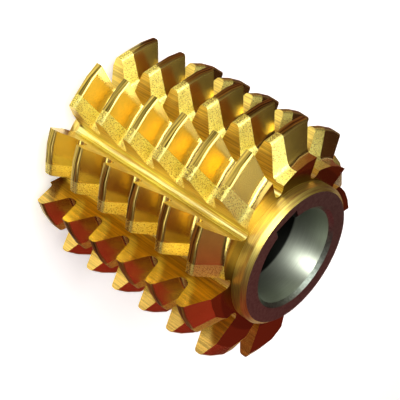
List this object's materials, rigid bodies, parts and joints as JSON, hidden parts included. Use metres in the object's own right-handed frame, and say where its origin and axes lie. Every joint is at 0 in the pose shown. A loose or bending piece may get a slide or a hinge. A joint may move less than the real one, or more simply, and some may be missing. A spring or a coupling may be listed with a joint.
{
  "type": "gear hob",
  "caption": "Bore-type gear hob with a single-start right-hand thread of relieved teeth, straight gullets, hub collars and a keyed bore.",
  "frame": {"origin": "on the bore's axis, in the rear hub face that the hob stands on", "axes": "+Z along the bore from the rear hub face to the front one; +X from the axis through the keyway"},
  "size_m": [0.0796, 0.0776, 0.083],
  "materials": {
    "coated_steel": "high-speed steel with a gold titanium nitride coating, ground"
  },
  "bodies": {
    "root": {"hob": "coated_steel"}
  },
  "joints": []
}
